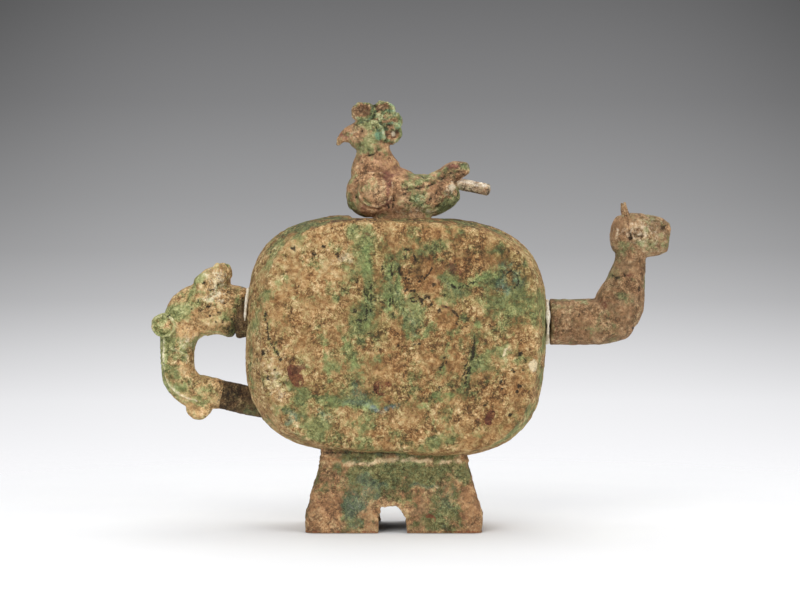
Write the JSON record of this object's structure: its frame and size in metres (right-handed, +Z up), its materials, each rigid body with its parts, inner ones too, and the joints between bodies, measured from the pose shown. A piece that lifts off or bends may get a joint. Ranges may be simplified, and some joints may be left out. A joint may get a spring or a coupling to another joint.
{
  "type": "spouted wine vessel",
  "caption": "Flat drum-shaped bronze wine vessel on a flared foot, with a beast-headed spout, a beast handle and a crested bird as its lift-off lid.",
  "frame": {"origin": "on the floor, under the middle of the vessel's overall length and depth", "axes": "+X from the handle to the spout, +Y from the front face to the back face, +Z up"},
  "size_m": [0.2064, 0.044, 0.1706],
  "materials": {
    "crusted_bronze": "ochre and green burial crust, matt and pitted",
    "green_bronze": "olive and dark green patina, matt",
    "red_bronze": "red-brown oxide, matt",
    "brown_bronze": "brown patina with dark pits, matt",
    "pale_green_bronze": "green and tan crust, matt",
    "dark_bronze": "dark brown bare bronze, satin",
    "lid_bronze": "pinkish brown crust with green patches, matt",
    "peg_bronze": "brown patina, worn paler above",
    "repair_filler": "cream repair filler, matt",
    "casting_clay": "burnt clay, matt"
  },
  "bodies": {
    "vessel": {"vessel_body": "crusted_bronze", "foot_ring": "green_bronze", "front_spacer_left": "red_bronze", "front_spacer_middle": "red_bronze", "front_spacer_right": "red_bronze", "back_spacer_left": "red_bronze", "back_spacer_middle": "red_bronze", "back_spacer_right": "red_bronze", "spout": "brown_bronze", "spout_seam_fill": "repair_filler", "handle": "pale_green_bronze", "handle_clay_core": "casting_clay", "handle_upper_tenon": "dark_bronze", "handle_lower_tenon": "dark_bronze", "handle_seam_fill": "repair_filler"},
    "lid": {"bird_lid": "lid_bronze", "lid_tail_peg": "peg_bronze"}
  },
  "joints": [
    {"name": "lid_lift", "type": "slide", "parent": "vessel", "child": "lid", "axis": [0, 0, 1], "range_m": [0, 0.04]}
  ]
}
